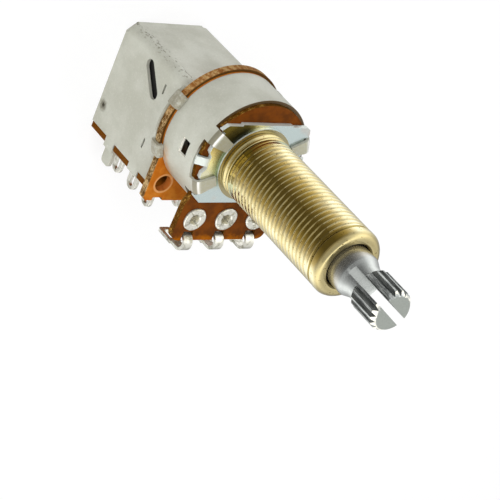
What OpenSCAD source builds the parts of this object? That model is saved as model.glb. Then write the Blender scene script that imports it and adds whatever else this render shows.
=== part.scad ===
// Push-pull rotary potentiometer: a knurled split shaft turns a wiper over a
// carbon track, and pulling the same shaft slides a two-pole switch behind it.
// Origin at the centre of the front plate's outer face. +Z is the shaft axis,
// outward. X runs along the row of three terminals, and -Y points to them.

/* [Bushing] */
// Outside diameter of the bushing thread
thread_d = 9.525; // [8:0.025:9.6]
// Height of the bushing above the front plate
bushing_h = 22; // [15:0.1:26]
// Height of the plain base below the thread
base_h = 1.9; // [1.4:0.1:3]
// Width of the bevelled ring at the free end of the bushing
end_ring_h = 1.6; // [1.5:0.1:3]
// Size of the bevel on the free end
end_bevel = 0.85; // [0.3:0.05:1]
// Depth of the turned grooves beside the thread
groove_d = 0.35; // [0.1:0.05:0.5]
// Spacing of the rings that stand for the thread, two of its turns
ring_pitch = 1.5875; // [1.2:0.0125:2]
// Depth of the rings that stand for the thread
ring_d = 0.3; // [0.15:0.05:0.45]
// Height of the swaged lip behind the front plate
lip_h = 0.3; // [0.2:0.05:0.5]

/* [Shaft] */
// Diameter of the shaft
shaft_d = 6; // [5:0.05:6.35]
// Running clearance on the shaft's radius
run_gap = 0.05; // [0.03:0.01:0.1]
// Length of shaft that stands out of the bushing
shaft_out = 9.1; // [8.5:0.1:14]
// Length of the knurled end
knurl_h = 4.9; // [4:0.1:5.5]
// Diameter over the knurl's teeth
knurl_d = 5.7; // [5:0.05:6]
// Number of teeth on the knurl
knurl_teeth = 18; // [12:1:24]
// Depth of a knurl tooth
knurl_depth = 0.45; // [0.3:0.05:0.6]
// Length of the bevel at the tip
tip_bevel = 0.6; // [0.2:0.05:0.8]
// Length of the waist between the plain shaft and the knurl
neck_h = 2.5; // [1.5:0.1:3]
// Diameter of the waist
neck_d = 4.85; // [4.4:0.05:5]
// Width of the slot that splits the end
slot_w = 1.15; // [0.8:0.05:1.4]
// Greatest depth of the slot from the tip
slot_depth = 6.7; // [4:0.1:7.4]
// Radius of the saw that cuts the slot
saw_r = 12; // [8:0.5:20]
// Distance of the saw's centre from the shaft's axis
saw_shift = -2.2; // [-3:0.1:2.5]
// Direction of the slot, from +X
slot_angle = -35; // [-90:1:90]
// Depth of each driving flat
flat_depth = 0.7; // [0.4:0.05:1]
// Diameter of the shaft's tail
tail_d = 4; // [3:0.1:4.4]
// Length of the tail in the slide block
tail_h = 2.9; // [2.8:0.1:4]

/* [Potentiometer] */
// Outside diameter of the can
can_d = 17.1; // [16.5:0.1:18]
// Distance from the plate's face to the rear of the can
can_reach = 7.95; // [7.8:0.05:10]
// Thickness of the can's sheet
can_t = 0.4; // [0.3:0.05:0.5]
// Thickness of the front plate
plate_t = 0.65; // [0.5:0.05:0.8]
// Width of the front plate
plate_w = 14.8; // [14:0.1:15.2]
// Distance from the axis to the plate's upper edge
plate_up = 5.43; // [5.3:0.05:5.8]
// Distance from the axis to the plate's lower edge
plate_down = 5.87; // [5.5:0.05:6.2]
// Width of a key that bends back into the can's edge
key_w = 1.1; // [0.8:0.05:1.4]
// Width of a fold-over tab of the can
tab_w = 2.1; // [1.6:0.05:2.4]
// Width of the small window in the can
window_w = 2.1; // [1.5:0.05:2.5]
// Thickness of the element board
board_t = 1; // [0.9:0.05:1.2]
// How far the element board's flange stands out below the can
flange_out = 3.55; // [3.2:0.05:4.4]
// Clearance between the element board and the can
board_gap = 0.05; // [0.03:0.01:0.15]
// Spacing of the terminals
pitch = 5; // [4.6:0.05:5.1]
// Distance from the flange's bottom edge to the row of eyelets
eyelet_inset = 3.3; // [2.9:0.05:3.4]
// Diameter of an eyelet's flange
eyelet_d = 3.3; // [2.8:0.1:3.6]
// Thickness of an eyelet's flange
eyelet_t = 0.3; // [0.2:0.05:0.35]
// Thickness of the terminal sheet
term_t = 0.4; // [0.3:0.05:0.5]
// Width of a terminal's strap
strap_w = 1.35; // [1.1:0.05:1.6]
// Width of a terminal's solder lug
lug_w = 1.8; // [1.6:0.05:2.2]
// Distance from the plate's face to the end of a solder lug
lug_reach = 5.3; // [4.6:0.1:8]

/* [Rear board] */
// Thickness of the rear board
rear_t = 1.1; // [0.8:0.05:1.4]
// How far the rear board stands out past the can
rear_rim = 0.35; // [0.2:0.05:0.6]
// How far the rear board's lower edge stands out below the can
rear_out = 2.45; // [2.2:0.05:3.5]
// Width of the rear board's lower part
rear_w = 15.5; // [15:0.1:16]
// Spacing of the spare holes
spare_pitch = 5.5; // [5:0.1:5.8]
// Distance from the rear board's lower edge to the row of spare holes
spare_inset = 2.6; // [2.2:0.05:3]
// Diameter of a spare hole
spare_d = 2.3; // [1.8:0.1:2.6]

/* [Switch] */
// Width of the switch frame
frame_w = 13; // [12.6:0.1:13.6]
// Height of the frame above the axis
frame_top = 5.6; // [5.4:0.05:6]
// Distance from the axis to the terminal board's upper face
deck_drop = 9.45; // [9.3:0.05:9.8]
// Thickness of the terminal board
deck_t = 0.9; // [0.8:0.05:1.2]
// Length of the switch frame
frame_l = 15.55; // [15:0.05:18]
// Thickness of the frame's sheet
frame_t = 0.45; // [0.35:0.05:0.5]
// Outside radius of the frame's folds
frame_r = 1.3; // [0.8:0.1:1.6]
// Distance from the rear board to the middle pair of lugs
lug_row = 8.05; // [7.5:0.05:8.6]
// Travel of the slide when the shaft is pulled
travel = 4; // [3:0.1:4.2]
// Distance between the two rows of switch lugs
row_gap = 4.9; // [4.4:0.1:5.4]
// Length of a switch lug below the terminal board
switch_lug_h = 5; // [4:0.1:6]
// Width of a switch lug
switch_lug_w = 2.1; // [1.6:0.05:2.2]
// Thickness of a switch lug
switch_lug_t = 0.5; // [0.3:0.05:0.6]
// Clearance round the slide block
slide_gap = 0.3; // [0.2:0.05:0.4]

/* [Hidden] */
$fn = 64;
cut = 0.01;
seat_gap = 0.02;

thread_r = thread_d / 2;
shaft_r = shaft_d / 2;
knurl_r = knurl_d / 2;
bore_r = shaft_r + run_gap;
tip_z = bushing_h + shaft_out;
board_z = -plate_t;
board_back = board_z - board_t;
can_r = can_d / 2;
can_in = can_r - can_t;
can_back = -can_reach;
rim_z = board_z - 0.55;
board_r = can_in - board_gap;
board_drop = can_r + flange_out;
eyelet_drop = board_drop - eyelet_inset;
flange_root = board_r * [cos(35.5), -sin(35.5)];
flange_half = 1.5 * pitch;
notch_top = board_drop - 1.35;
rear_back = can_back - rear_t;
rear_r = can_r + rear_rim;
rear_drop = can_r + rear_out;
spare_drop = rear_drop - spare_inset;
frame_front = rear_back - seat_gap;
frame_back = rear_back - frame_l;
wall_x = frame_w / 2;
hub_r = shaft_r + 1.45;
swage_r = hub_r + 0.6;
hub_hole_r = thread_r + 0.15;
neck_r = thread_r - 0.55;
lip_back = -plate_t - lip_h;
lip_r = thread_r - 0.25;
collar_h = 0.3;
collar_r = thread_r + 0.5;
tab_bend = 0.75;
tab_angles = [154, -154, 21, -26];
tab_end_r = thread_r + 0.8;
term_back = board_back - term_t;
eyelet_tube_r = 0.95;
eyelet_hole_r = 0.6;
track_t = 0.08;
ring_t = 0.12;
track_in = 5.95;
track_out = 6.85;
ring_in = 5.05;
ring_out = 5.55;
rotor_front = board_back - 0.95;
rotor_t = 1.4;
rotor_r = 7;
rotor_hub_r = 4.55;
stop_half = 7;
stop_z = rotor_front + 0.1;
window_z = stop_z - can_t + 0.1;
pull_half = 150;
tail_r = tail_d / 2;
groove_r = tail_r - 0.5;
block_front = rear_back - travel - 1.4;
block_wall = 1.6;
block_back = frame_back + frame_t + slide_gap;
block_top = 3.9;
notch_z = block_front - 4.6;
tail_z = block_front + 0.1;
clip_z = block_front - block_wall - 0.1;
clip_t = 0.44;
pad_t = 0.4;
contact_t = 0.3;
contact_gap = 0.05;
lug_mid = rear_back - lug_row;
lug_z = [lug_mid - travel, lug_mid, lug_mid + travel];
teeth = [[3.9, 2.1], [10, 2.3]];
deck_back = deck_drop + deck_t;
frame_tabs = [154.5, 28, -158.5, -21.5];
brass = [0.80, 0.67, 0.38];
tin = [0.77, 0.77, 0.73];
bright_tin = [0.86, 0.86, 0.84];
zinc = [0.70, 0.75, 0.74];
phenolic_dark = [0.42, 0.20, 0.10];
phenolic_orange = [0.72, 0.36, 0.12];
aluminium = [0.72, 0.74, 0.74];
black_plastic = [0.07, 0.07, 0.08];
carbon = [0.10, 0.10, 0.11];

// Points along an arc, for outlines and folded strips
function arc(c, r, a0, a1, n = 10) =
    [for (i = [0 : n]) let (a = a0 + (a1 - a0) * i / n) c + r * [cos(a), sin(a)]];

// Unit normal of a path at point i
function normal(p, i) =
    let (d = p[min(i + 1, len(p) - 1)] - p[max(i - 1, 0)]) [-d[1], d[0]] / norm(d);

// A strip of sheet that follows a path, seen edge on
module ribbon(path, t) {
    upper = [for (i = [0 : len(path) - 1]) path[i] + normal(path, i) * t / 2];
    lower = [for (i = [len(path) - 1 : -1 : 0]) path[i] - normal(path, i) * t / 2];
    polygon(concat(upper, lower));
}

// Turns an outline drawn in (Z, Y) into a strip of width w centred at x
module strip_zy(x, w) translate([x + w / 2, 0, 0]) rotate([0, -90, 0]) linear_extrude(w) children();

// Turns an outline drawn in (X, Z) into a strip from y to y + w
module strip_xz(y, w) translate([0, y + w, 0]) rotate([90, 0, 0]) linear_extrude(w) children();

// A bar from the origin along -Y with two rounded corners at its free end
module lug_outline(w, h, r) {
    translate([-w / 2, r - h]) square([w, h - r]);
    translate([r - w / 2, -h]) square([w - 2 * r, r + cut]);
    for (s = [-1, 1]) translate([s * (w / 2 - r), r - h]) circle(r);
}

// A slot with round ends, drawn upright
module slot_outline(w, h) {
    square([w, h - w], center = true);
    for (s = [-1, 1]) translate([0, s * (h - w) / 2]) circle(w / 2, $fn = 32);
}

// Turned brass bushing, swaged through the front plate. Plain rings stand for its
// helical thread
module bushing() color(brass) difference() {
    ring_z = bushing_h - end_ring_h;
    low_r = thread_r - groove_d;
    rings = floor((ring_z - base_h - 1) / ring_pitch);
    first_z = (base_h + ring_z - 0.3 - (rings - 1) * ring_pitch) / 2;
    rotate_extrude($fn = 96) polygon(concat([
        [0, lip_back], [lip_r, lip_back], [lip_r, -plate_t],
        [neck_r, -plate_t], [neck_r, collar_h], [thread_r, collar_h], [thread_r, base_h - 1.1],
        [low_r, base_h - 1], [low_r, base_h - 0.8], [thread_r, base_h - 0.7],
        [thread_r, base_h - 0.4], [low_r, base_h - 0.3], [low_r, base_h], [thread_r, base_h]],
        [for (i = [0 : rings - 1], p = [[0, -ring_d], [ring_d, 0], [0, ring_d]])
            [thread_r - p[0], first_z + i * ring_pitch + p[1]]], [
        [thread_r, ring_z - 0.3], [low_r, ring_z - 0.3], [low_r, ring_z], [thread_r, ring_z],
        [thread_r, bushing_h - end_bevel], [thread_r - end_bevel * 0.35, bushing_h - end_bevel * 0.3],
        [thread_r - end_bevel, bushing_h], [0, bushing_h]]));
    translate([0, 0, lip_back - 1]) cylinder(r = bore_r, h = bushing_h + 3);
    translate([0, 0, bushing_h - 0.25])
        cylinder(r1 = bore_r, r2 = bore_r + 0.3, h = 0.25 + cut);
}

// Outline of the front plate: a raised middle above, a waist at the two keys
// and a notch where each of the can's tabs folds over
module plate_outline() {
    w = plate_w / 2;
    difference() {
        polygon([[-3.9, plate_up + 0.22], [4, plate_up + 0.22], [4.05, plate_up],
            [w - 0.95, plate_up], [w - 0.4, plate_up - 0.3], [w - 0.2, plate_up - 0.85],
            [w, 1.5], [w - 0.5, 0.9], [w - 0.5, -0.9], [w, -1.5], [w, -4.3],
            [w - 0.4, 0.8 - plate_down], [w - 1.4, -plate_down], [1.4 - w, -plate_down],
            [0.4 - w, 0.8 - plate_down], [-w, -4.3], [-w, -1.5], [0.5 - w, -0.9],
            [0.5 - w, 0.9], [-w, 1.5], [0.5 - w, plate_up - 0.7], [1.35 - w, plate_up],
            [-3.95, plate_up]]);
        for (a = tab_angles) rotate(a)
            translate([can_r - can_t / 2 - tab_bend - 0.1, -tab_w / 2 - 0.15])
                square([4, tab_w + 0.3]);
    }
}

// Zinc-plated front plate with a raised ring under the bushing's shoulder and two
// bent-back keys
module front_plate() color(zinc) {
    difference() {
        union() {
            translate([0, 0, -plate_t]) linear_extrude(plate_t) plate_outline();
            cylinder(r = collar_r, h = collar_h);
        }
        translate([0, 0, -plate_t - 1]) cylinder(r = neck_r + seat_gap, h = plate_t + 2);
    }
    root = plate_w / 2 - 0.3;
    for (s = [-1, 1]) scale([s, 1, 1]) strip_xz(-key_w / 2, key_w)
        ribbon(concat([[root - 0.4, -plate_t / 2]],
            arc([root, -plate_t / 2 - 0.9], 0.9, 90, 40, 6),
            [[can_r - 0.08, rim_z + 0.28]]), 0.5);
}

// Phenolic board that carries the track: a disc inside the can, and a flange
// outside it with a notch for each terminal
module element_board() color(phenolic_dark) difference() {
    union() {
        translate([0, 0, board_back]) cylinder(r = board_r, h = board_t, $fn = 128);
        translate([0, 0, board_back]) linear_extrude(board_t)
            polygon(concat([[-5, -3], [5, -3], flange_root + [0.02, -0.03],
                [flange_half - 0.1, -6.6]],
                arc([flange_half - 1.2, 1.2 - board_drop], 1.2, 0, -90, 6),
                arc([1.2 - flange_half, 1.2 - board_drop], 1.2, -90, -180, 6),
                [[0.1 - flange_half, -6.6], [-flange_root[0] - 0.02, flange_root[1] - 0.03]]));
    }
    translate([0, 0, board_back - 1]) cylinder(r = hub_hole_r, h = board_t + 2);
    for (s = [-1, 1]) translate([s * (board_r + 0.5), 0, board_back])
        cube([3, key_w + 0.3, 3], center = true);
    for (i = [-1 : 1]) {
        translate([i * pitch, -eyelet_drop, board_back - 1])
            cylinder(r = eyelet_tube_r + seat_gap, h = board_t + 2, $fn = 48);
        translate([i * pitch - strap_w / 2 - 0.1, -board_drop - 1, board_back - 1])
            cube([strap_w + 0.2, board_drop + 1 - notch_top, board_t + 2]);
    }
}

// Horseshoe of carbon on the rear of the board, with a pad to each end terminal
module resistive_track() color(carbon) {
    pad_y = eyelet_d / 2 + 0.1 - eyelet_drop;
    translate([0, 0, board_back - track_t]) linear_extrude(track_t)
        polygon(concat(arc([0, 0], track_out, -50, 230, 48),
            [[-pitch - 0.6, pad_y], [0.6 - pitch, pad_y]],
            arc([0, 0], track_in, 236, -56, 48),
            [[pitch - 0.6, pad_y], [pitch + 0.6, pad_y]]));
}

// Silvered ring that feeds the wiper, with its leg to the middle terminal
module collector_ring() color(bright_tin)
    translate([0, 0, board_back - ring_t]) linear_extrude(ring_t) difference() {
        union() {
            circle(ring_out);
            translate([-0.6, eyelet_d / 2 + 0.1 - eyelet_drop])
                square([1.2, eyelet_drop - eyelet_d / 2 - 0.3 - ring_in]);
        }
        circle(ring_in);
    }

// Terminal: a ring under the eyelet, a strap hooked forward through the board's
// notch, and a solder lug that runs back along the body
module terminal(i) color(bright_tin) {
    mid_z = board_back - term_t / 2;
    hook_r = 1.03;
    bend_r = 0.6;
    hook_y = -notch_top - 0.05 - bend_r - hook_r;
    lug_l = 3.1;
    difference() {
        union() {
            translate([i * pitch, -eyelet_drop, term_back]) cylinder(r = eyelet_d / 2, h = term_t);
            strip_zy(i * pitch, strap_w) ribbon(concat(
                [[mid_z, -eyelet_drop - 1.2]],
                arc([mid_z + bend_r, -notch_top - 0.05], bend_r, 180, 265, 6),
                arc([board_back + 0.55, hook_y], hook_r, 90, -90, 14),
                [[board_back - 0.55, hook_y - hook_r], [lug_l - lug_reach - 0.4, hook_y - hook_r]]),
                term_t);
            translate([i * pitch, hook_y - hook_r - term_t / 2, 0]) rotate([-90, 0, 0])
                linear_extrude(term_t) translate([0, lug_reach - lug_l]) mirror([0, 1])
                    lug_outline(lug_w, lug_l, 0.4);
        }
        translate([i * pitch, -eyelet_drop, term_back - 1])
            cylinder(r = eyelet_tube_r + seat_gap, h = term_t + 2, $fn = 48);
        translate([i * pitch, hook_y - hook_r - 1, 1.55 - lug_reach]) rotate([-90, 0, 0])
            linear_extrude(2) slot_outline(0.8, 2);
    }
}

// Rolled eyelet that rivets a terminal to the element board
module eyelet(i) color(bright_tin) translate([i * pitch, -eyelet_drop, 0]) {
    front = board_z + eyelet_t;
    back = term_back - 0.25;
    rotate_extrude($fn = 48) polygon([
        [eyelet_hole_r, front - 0.12], [eyelet_hole_r + 0.2, front],
        [eyelet_d / 2 - 0.15, front], [eyelet_d / 2, front - 0.12], [eyelet_d / 2, board_z],
        [eyelet_tube_r, board_z], [eyelet_tube_r, term_back], [1.35, term_back],
        [1.3, back], [eyelet_hole_r + 0.1, back], [eyelet_hole_r, back + 0.1]]);
}

// One fold-over tab of the can, drawn in the (radius, Z) plane
module can_tab(a) {
    side_r = can_r - can_t / 2;
    half = asin(tab_w / 2 / side_r);
    over_z = can_t / 2 + seat_gap;
    rotate([0, 0, a - half]) rotate_extrude(angle = 2 * half)
        ribbon(concat([[side_r, rim_z - 0.2]],
            arc([side_r - tab_bend, over_z - tab_bend], tab_bend, 0, 90, 8),
            [[tab_end_r, over_z]]), can_t);
}

// Drawn steel can with four tabs over the plate, a small side window with a
// stop for the rotor bent in at its front edge, and a hub swaged behind
module can() color(tin) {
    difference() {
        rotate_extrude($fn = 128) polygon([[can_in, rim_z], [can_r, rim_z],
            [can_r, can_back + 0.25], [can_r - 0.25, can_back], [hub_r, can_back],
            [hub_r, frame_front], [swage_r, frame_front],
            [swage_r, rear_back - can_t], [hub_r - can_t, rear_back - can_t],
            [hub_r - can_t, can_back + can_t], [can_in, can_back + can_t]]);
        translate([-flange_root[0] - 0.35, -can_d, term_back - 0.6])
            cube([2 * flange_root[0] + 0.7, can_d + flange_root[1] + 0.1, 9]);
        translate([-can_r - 1, -window_w / 2, window_z - 1.5]) cube([2, window_w, 1.5]);
    }
    for (a = tab_angles) can_tab(a);
    rotate([0, 0, 180 - stop_half]) rotate_extrude(angle = 2 * stop_half)
        translate([rotor_r + 0.35, stop_z - can_t])
            square([can_in - rotor_r - 0.35 + 0.1, can_t]);
}

// Phenolic board between the can and the switch, with spare terminal holes
module rear_board() color(phenolic_orange) difference() {
    w = rear_w / 2;
    union() {
        translate([0, 0, rear_back]) cylinder(r = rear_r, h = rear_t, $fn = 128);
        translate([0, 0, rear_back]) linear_extrude(rear_t)
            polygon([[w, -3], [w, 0.4 - rear_drop], [w - 0.4, -rear_drop],
                [0.4 - w, -rear_drop], [-w, 0.4 - rear_drop], [-w, -3]]);
    }
    translate([0, 0, rear_back - 1]) cylinder(r = hub_r + seat_gap, h = rear_t + 2);
    for (i = [-1 : 1]) {
        translate([i * spare_pitch, -spare_drop, rear_back - 1])
            cylinder(r = spare_d / 2, h = rear_t + 2, $fn = 48);
        translate([i * spare_pitch, -rear_drop - 0.55, rear_back - 1])
            linear_extrude(rear_t + 2) polygon([[-0.95, 0], [0.95, 0], [0.7, 1], [-0.7, 1]]);
    }
}

flange_low = -5.45;
flange_high = 5.3;
bend_high = frame_top - frame_r;
flange_bend = 0.8;

// Cross-section of the folded channel
module channel_outline() {
    half = wall_x - frame_t / 2;
    r = frame_r - frame_t / 2;
    top = frame_top - frame_t / 2;
    foot = -deck_back - 0.05;
    ribbon(concat([[-half, foot]], arc([r - half, top - r], r, 180, 90, 8),
        arc([half - r, top - r], r, 90, 0, 8), [[half, foot]]), frame_t);
}

// Cuts in the channel: the lower edge between its teeth, room for the front
// bends, clipped rear corners, relief slits, and the slot and holes seen outside
module channel_cuts() {
    edges = [-1, teeth[0][0], teeth[0][0] + teeth[0][1], teeth[1][0],
        teeth[1][0] + teeth[1][1], frame_l + 1];
    for (s = [-1, 1]) scale([s, 1, 1]) {
        for (k = [0 : 2]) translate([wall_x - 2, -deck_drop - 3, frame_back + edges[2 * k]])
            cube([4, 3, edges[2 * k + 1] - edges[2 * k]]);
        translate([wall_x - 1, flange_low, frame_front - frame_t / 2 - flange_bend])
            cube([2, bend_high - flange_low, 2]);
        translate([wall_x, frame_top, frame_back]) rotate([0, 0, 45])
            cube([frame_r * sqrt(2), 4, 1], center = true);
        for (y = [2.3, -5.8]) translate([wall_x - 1, y - 0.7, rear_back - 4.5])
            cube([2, 1.4, 0.35]);
    }
    translate([-wall_x, 1.96, frame_back + 8.28]) rotate([45, 0, 0]) rotate([90, 0, 90])
        translate([0, 0, -1]) linear_extrude(2) slot_outline(1.65, 5.3);
    translate([-wall_x - 1, -6.5, frame_back + 1]) rotate([0, 90, 0]) cylinder(r = 0.3, h = 2);
    translate([-5.2, frame_top + 1, frame_front - 0.3]) rotate([90, 0, 0])
        cylinder(r = 0.5, h = 2);
}

// One of the frame's tabs that grip the rim of the rear board
module frame_tab(a) {
    rim = rear_r + 0.08 + frame_t / 2;
    over = can_back + seat_gap + frame_t / 2;
    r = 0.3;
    rotate([0, 0, a - 6.2]) rotate_extrude(angle = 12.4)
        ribbon(concat([[rim - 0.8, frame_front - frame_t / 2]],
            arc([rim - r, frame_front - frame_t / 2 + r], r, -90, 0, 5),
            arc([rim - r, over - r], r, 0, 90, 5), [[can_r + 0.06, over]]), frame_t);
}

// Folded steel frame of the switch: channel, front flanges with gripping tabs,
// a tail flap that keeps the slide in, and a ground tab under the left wall
module switch_frame() color(tin) {
    side = wall_x - frame_t / 2;
    bend_z = frame_front - frame_t / 2 - flange_bend;
    difference() {
        translate([0, 0, frame_back]) linear_extrude(frame_front - frame_back) channel_outline();
        channel_cuts();
    }
    for (s = [-1, 1]) scale([s, 1, 1]) {
        strip_xz(flange_low, bend_high - flange_low)
            ribbon(concat([[side, bend_z - 0.1]],
                arc([side + flange_bend, bend_z], flange_bend, 180, 90, 8),
                [[side + flange_bend + 0.1, bend_z + flange_bend]]), frame_t);
        translate([0, 0, frame_front - frame_t]) linear_extrude(frame_t) intersection() {
            union() {
                circle(rear_r, $fn = 96);
                translate([0, flange_low]) square([rear_w / 2 - 0.05, 5]);
            }
            translate([side + flange_bend, flange_low]) square([4, flange_high - flange_low]);
        }
    }
    for (a = frame_tabs) frame_tab(a);
    translate([-wall_x, -deck_back - seat_gap - frame_t, frame_back + teeth[0][0]])
        cube([1.45, frame_t, teeth[0][1]]);
    translate([1 - wall_x, -deck_back - seat_gap - frame_t + cut, frame_back + 4.85])
        rotate([0, -90, 0]) linear_extrude(frame_t) lug_outline(2, 2.45, 0.6);
    translate([frame_r - wall_x, -1.5, frame_back])
        cube([frame_w - 2 * frame_r, frame_top + 1.5 - frame_t / 2, frame_t]);
}

// Phenolic board that closes the frame, with notches for the wall's teeth and
// a slit for each lug
module switch_terminal_board() color(phenolic_orange) difference() {
    translate([0.05 - wall_x, -deck_back, frame_back + 0.15])
        cube([frame_w - 0.1, deck_t, frame_front - frame_back - 0.2]);
    for (s = [-1, 1]) scale([s, 1, 1]) {
        for (z = lug_z) translate([row_gap / 2 - switch_lug_t / 2 - seat_gap, -deck_back - 1,
            z - switch_lug_w / 2 - seat_gap])
                cube([switch_lug_t + 2 * seat_gap, deck_t + 2, switch_lug_w + 2 * seat_gap]);
        for (t = teeth) translate([wall_x - frame_t - seat_gap, -deck_back - 1,
            frame_back + t[0] - 0.1])
                cube([2, deck_t + 2, t[1] + 0.2]);
    }
}

// One solder lug of the switch, with the contact pad inside
module switch_lug(column, row) color(bright_tin) {
    x = column * row_gap / 2;
    h = switch_lug_h + deck_t;
    eye_w = switch_lug_w * 0.36;
    eye_h = switch_lug_h * 0.35;
    translate([x - 0.8, -deck_drop, lug_z[row] - switch_lug_w / 2])
        cube([1.6, pad_t, switch_lug_w]);
    translate([x + switch_lug_t / 2, -deck_drop + cut, lug_z[row]]) rotate([0, -90, 0])
        linear_extrude(switch_lug_t) difference() {
            lug_outline(switch_lug_w, h, switch_lug_w / 2 - cut);
            translate([0, eye_w / 2 + eye_h / 2 + 0.1 - h]) slot_outline(eye_w, eye_h);
        }
}

// Leaf spring under the frame's top that clicks into the slide block's notches
module detent_spring() color(bright_tin) {
    leaf_t = 0.25;
    y = frame_top - frame_t - seat_gap - leaf_t / 2;
    low = block_top + 0.06 + leaf_t / 2;
    strip_zy(0, 5) ribbon([[notch_z - 3.2, y], [notch_z - 1.5, y], [notch_z - 0.45, low + 0.1],
        [notch_z, low], [notch_z + 0.45, low + 0.1], [notch_z + 1.5, y], [notch_z + 3.2, y]],
        leaf_t);
}

// Moulded block that the shaft pulls and pushes
module slide_block() color(black_plastic) difference() {
    bottom = pad_t + contact_gap + contact_t - deck_drop;
    half = wall_x - frame_t - slide_gap;
    pocket = tail_r + 1.4;
    translate([-half, bottom, block_back]) cube([2 * half, block_top - bottom, block_front - block_back]);
    translate([0, 0, block_front - block_wall - 1]) cylinder(r = tail_r + 0.08, h = 3);
    translate([-pocket, -pocket, block_front - block_wall - 2.6])
        cube([2 * pocket, block_top + pocket + 1, 2.6]);
    for (z = [notch_z, notch_z - travel]) translate([0, block_top, z]) rotate([45, 0, 0])
        cube([6.4, 0.7, 0.7], center = true);
}

// Bridging contact under the slide block: joins two neighbouring lugs
module bridge_contact(column) color(brass)
    translate([column * row_gap / 2 - 0.7, pad_t + contact_gap - deck_drop,
        lug_z[0] - switch_lug_w / 2 + 0.2])
            cube([1.4, contact_t, travel + switch_lug_w - 0.4]);

// Star outline of the knurl
module knurl_outline() polygon([for (i = [0 : knurl_teeth - 1],
    p = [[-0.5, knurl_r - knurl_depth], [-0.14, knurl_r], [0.14, knurl_r]])
        let (a = (i + p[0]) * 360 / knurl_teeth) p[1] * [cos(a), sin(a)]]);

// Shaft: split knurled tip, waist, plain journal, driving flats and grooved tail
module shaft() color(aluminium) {
    knurl_z = tip_z - knurl_h;
    neck_z = knurl_z - neck_h;
    lead_h = 0.35;
    waist_r = neck_d / 2;
    root_r = knurl_r - knurl_depth;
    flats_z = lip_back - 0.1;
    floor_z = tip_z - slot_depth;
    difference() {
        union() {
            translate([0, 0, knurl_z]) linear_extrude(knurl_h) knurl_outline();
            rotate_extrude() polygon([[0, neck_z - 1], [shaft_r, neck_z - 1], [shaft_r, neck_z],
                [waist_r + 0.12, neck_z + neck_h * 0.4], [waist_r, neck_z + neck_h * 0.6],
                [waist_r, knurl_z + lead_h], [0, knurl_z + lead_h]]);
            translate([0, 0, flats_z]) cylinder(r = shaft_r, h = neck_z - 0.5 - flats_z);
            intersection() {
                translate([0, 0, tail_z]) cylinder(r = shaft_r, h = flats_z - tail_z);
                translate([-shaft_r, flat_depth - shaft_r, tail_z])
                    cube([2 * shaft_r, 2 * (shaft_r - flat_depth), flats_z - tail_z]);
            }
            translate([0, 0, tail_z - tail_h]) cylinder(r = tail_r, h = tail_h);
        }
        rotate_extrude() polygon([[knurl_r + 0.02, tip_z - tip_bevel], [shaft_r + 1, tip_z - tip_bevel],
            [shaft_r + 1, tip_z + 1], [root_r - 0.25, tip_z + 1], [root_r - 0.03, tip_z]]);
        rotate_extrude() polygon([[waist_r + 0.03, knurl_z - 0.05], [shaft_r + 1, knurl_z - 0.05],
            [shaft_r + 1, knurl_z + lead_h], [knurl_r + 0.02, knurl_z + lead_h]]);
        rotate([0, 0, slot_angle]) strip_xz(-slot_w / 2, slot_w)
            polygon(concat([[shaft_r + 1, tip_z + 1], [-shaft_r - 1, tip_z + 1]],
                [for (i = [-4 : 4]) let (x = i * (shaft_r + 1) / 4)
                    [x, floor_z + saw_r - sqrt(pow(saw_r, 2) - pow(x - saw_shift, 2))]]));
        translate([0, 0, clip_z - clip_t - 0.06]) difference() {
            cylinder(r = shaft_r, h = clip_t + 0.06);
            cylinder(r = groove_r, h = clip_t + 0.06);
        }
    }
}

// Clip that holds the shaft's tail in the slide block
module retaining_clip() color(tin)
    translate([0, 0, clip_z - clip_t - 0.03]) linear_extrude(clip_t) difference() {
        circle(tail_r + 0.9);
        circle(groove_r + 0.03);
        translate([-1.2, 0]) square([2.4, 4]);
    }

// Rotor: a moulded disc on a hub with a flatted bore and one stop lug
module rotor() color(black_plastic) difference() {
    flat = shaft_r - flat_depth + run_gap;
    back = rotor_front - rotor_t;
    foot = can_back + can_t + 0.12;
    lug_half = 180 - pull_half - stop_half - 1.5;
    union() {
        translate([0, 0, back]) cylinder(r = rotor_r, h = rotor_t, $fn = 96);
        translate([0, 0, back]) cylinder(r = rotor_hub_r, h = lip_back - 0.3 - back);
        translate([0, 0, foot]) cylinder(r = rotor_hub_r + 0.5, h = back - foot + cut);
        rotate([0, 0, -lug_half]) rotate_extrude(angle = 2 * lug_half)
            translate([rotor_r - 2, back + 0.3]) square([can_in - rotor_r + 1.7, rotor_t - 0.3]);
    }
    translate([0, 0, foot - 1]) intersection() {
        cylinder(r = bore_r, h = 9);
        translate([-5, -flat, 0]) cube([10, 2 * flat, 9]);
    }
}

// Spring ring on the rotor with two fingers, one to the track and one to the ring
module wiper_spring() color(brass) {
    z = rotor_front + seat_gap;
    translate([0, 0, z]) linear_extrude(0.2) difference() {
        circle(track_out - 0.25);
        circle(rotor_hub_r + 0.15);
    }
    for (p = [[(track_in + track_out) / 2, track_t], [(ring_in + ring_out) / 2, ring_t]])
        rotate([0, 0, 90]) translate([p[0] - 0.2, -1.2, 0]) rotate([90, 0, 90])
            linear_extrude(0.4) ribbon([[0, z + 0.1], [0.3, z + 0.25],
                [1.9, board_back - p[1] - 0.2], [2.3, board_back - p[1] - 0.3]], 0.18);
}

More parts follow.
